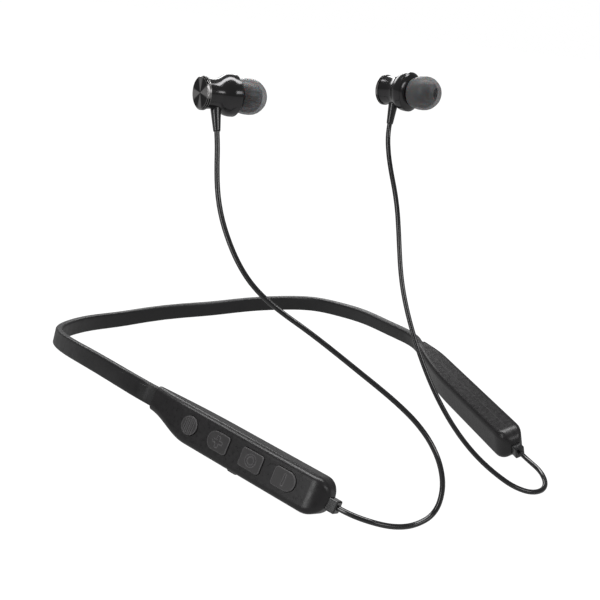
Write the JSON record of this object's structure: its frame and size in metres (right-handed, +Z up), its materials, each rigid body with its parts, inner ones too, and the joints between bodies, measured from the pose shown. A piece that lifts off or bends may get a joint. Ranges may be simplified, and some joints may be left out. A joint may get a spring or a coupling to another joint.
{
  "type": "neckband earphones",
  "caption": "Flexible neckband with a control pod and a battery pod at its ends, each with a corded magnetic earbud, raised press keys and a hinged charge port cover.",
  "frame": {"origin": "on the underside of the band at the middle of the nape, where it rests", "axes": "+Z up off the table, -Y the way the wearer faces, +X the wearer's left"},
  "size_m": [0.161, 0.2248, 0.1456],
  "materials": {
    "band_silicone": "satin",
    "pod_plastic": "satin",
    "key_plastic": "satin",
    "spring_steel": "satin",
    "cable_jacket": "glossy",
    "circuit_board": "satin",
    "chip_black": "matt",
    "sheet_metal": "satin",
    "switch_housing": "matt",
    "switch_plunger": "satin",
    "battery_foil": "satin",
    "foam": "matt",
    "bud_metal": "polished",
    "disc_metal": "polished",
    "magnet": "polished",
    "driver_metal": "satin",
    "coil_copper": "satin",
    "diaphragm_film": "gloss",
    "mesh": "satin",
    "tip_silicone": "soft"
  },
  "bodies": {
    "neckband": {"neckband_sleeve": "band_silicone", "spring_wire": "spring_steel", "link_cable": "cable_jacket"},
    "control_pod": {"right_outer_shell": "pod_plastic", "right_inner_shell": "pod_plastic", "key_switches": "switch_housing", "main_board": "circuit_board", "radio_shield": "sheet_metal", "radio_chip": "chip_black", "microphone": "sheet_metal", "charge_socket": "sheet_metal", "charge_socket_tongue": "chip_black", "right_cable_boot": "cable_jacket"},
    "battery_pod": {"left_outer_shell": "pod_plastic", "left_inner_shell": "pod_plastic", "battery_cell": "battery_foil", "battery_protection_board": "circuit_board", "battery_pad": "foam", "left_cable_boot": "cable_jacket"},
    "cover": {"port_cover": "band_silicone"},
    "right_lead": {"right_cable": "cable_jacket"},
    "left_lead": {"left_cable": "cable_jacket"},
    "mode_button": {"mode_key": "key_plastic", "mode_switch_plunger": "switch_plunger"},
    "plus_button": {"plus_key": "key_plastic", "plus_switch_plunger": "switch_plunger"},
    "power_button": {"power_key": "key_plastic", "power_switch_plunger": "switch_plunger"},
    "minus_button": {"minus_key": "key_plastic", "minus_switch_plunger": "switch_plunger"},
    "left_earbud": {"left_bud_cap": "disc_metal", "left_cap_magnet": "magnet", "left_bud_barrel": "bud_metal", "left_trim_ring": "bud_metal", "left_front_housing": "bud_metal", "left_nozzle_mesh": "mesh", "left_driver_frame": "driver_metal", "left_driver_magnet": "magnet", "left_voice_coil": "coil_copper", "left_diaphragm": "diaphragm_film", "left_strain_relief": "cable_jacket"},
    "left_tip": {"left_ear_tip": "tip_silicone"},
    "right_earbud": {"right_bud_cap": "disc_metal", "right_cap_magnet": "magnet", "right_bud_barrel": "bud_metal", "right_trim_ring": "bud_metal", "right_front_housing": "bud_metal", "right_nozzle_mesh": "mesh", "right_driver_frame": "driver_metal", "right_driver_magnet": "magnet", "right_voice_coil": "coil_copper", "right_diaphragm": "diaphragm_film", "right_strain_relief": "cable_jacket"},
    "right_tip": {"right_ear_tip": "tip_silicone"}
  },
  "joints": [
    {"name": "right_arm_flex", "type": "hinge", "parent": "neckband", "child": "control_pod", "pos_m": [-0.034, -0.005, 0.004], "axis": [0, 0, -1], "range_deg": [-6, 12], "deforming": ["neckband_sleeve", "spring_wire", "link_cable"]},
    {"name": "left_arm_flex", "type": "hinge", "parent": "neckband", "child": "battery_pod", "pos_m": [0.034, -0.005, 0.004], "axis": [0, 0, 1], "range_deg": [-6, 12], "deforming": ["neckband_sleeve", "spring_wire", "link_cable"]},
    {"name": "mode_press", "type": "slide", "parent": "control_pod", "child": "mode_button", "axis": [0.8885, 0.2943, -0.3521], "range_m": [0, 0.0002]},
    {"name": "plus_press", "type": "slide", "parent": "control_pod", "child": "plus_button", "axis": [0.8885, 0.2943, -0.3521], "range_m": [0, 0.0002]},
    {"name": "power_press", "type": "slide", "parent": "control_pod", "child": "power_button", "axis": [0.8885, 0.2943, -0.3521], "range_m": [0, 0.0002]},
    {"name": "minus_press", "type": "slide", "parent": "control_pod", "child": "minus_button", "axis": [0.8885, 0.2943, -0.3521], "range_m": [0, 0.0002]},
    {"name": "port_cover_hinge", "type": "hinge", "parent": "control_pod", "child": "cover", "pos_m": [-0.05964, -0.16903, 0.00391], "axis": [-0.8885, -0.2943, 0.3521], "range_deg": [0, 100]},
    {"name": "right_cable_swing", "type": "hinge", "parent": "control_pod", "child": "right_lead", "pos_m": [-0.04718, -0.20359, 0.00646], "axis": [0, 0, 1], "range_deg": [-12, 12], "deforming": ["right_cable"]},
    {"name": "left_cable_swing", "type": "hinge", "parent": "battery_pod", "child": "left_lead", "pos_m": [0.04718, -0.20359, 0.00646], "axis": [0, 0, -1], "range_deg": [-12, 12], "deforming": ["left_cable"]},
    {"name": "right_bud_swivel", "type": "hinge", "parent": "right_lead", "child": "right_earbud", "pos_m": [-0.06, -0.1266, 0.1321], "axis": [0.035, 0.3038, 0.9521], "range_deg": [-90, 90]},
    {"name": "right_tip_pull", "type": "slide", "parent": "right_earbud", "child": "right_tip", "axis": [0.9988, -0.043, -0.023], "range_m": [0, 0.008], "deforming": ["right_ear_tip"]},
    {"name": "left_bud_swivel", "type": "hinge", "parent": "left_lead", "child": "left_earbud", "pos_m": [0.0187, -0.1336, 0.1377], "axis": [0.1328, 0.0802, 0.9879], "range_deg": [-90, 90]},
    {"name": "left_tip_pull", "type": "slide", "parent": "left_earbud", "child": "left_tip", "axis": [0.1584, -0.9856, 0.0587], "range_m": [0, 0.008], "deforming": ["left_ear_tip"]}
  ]
}
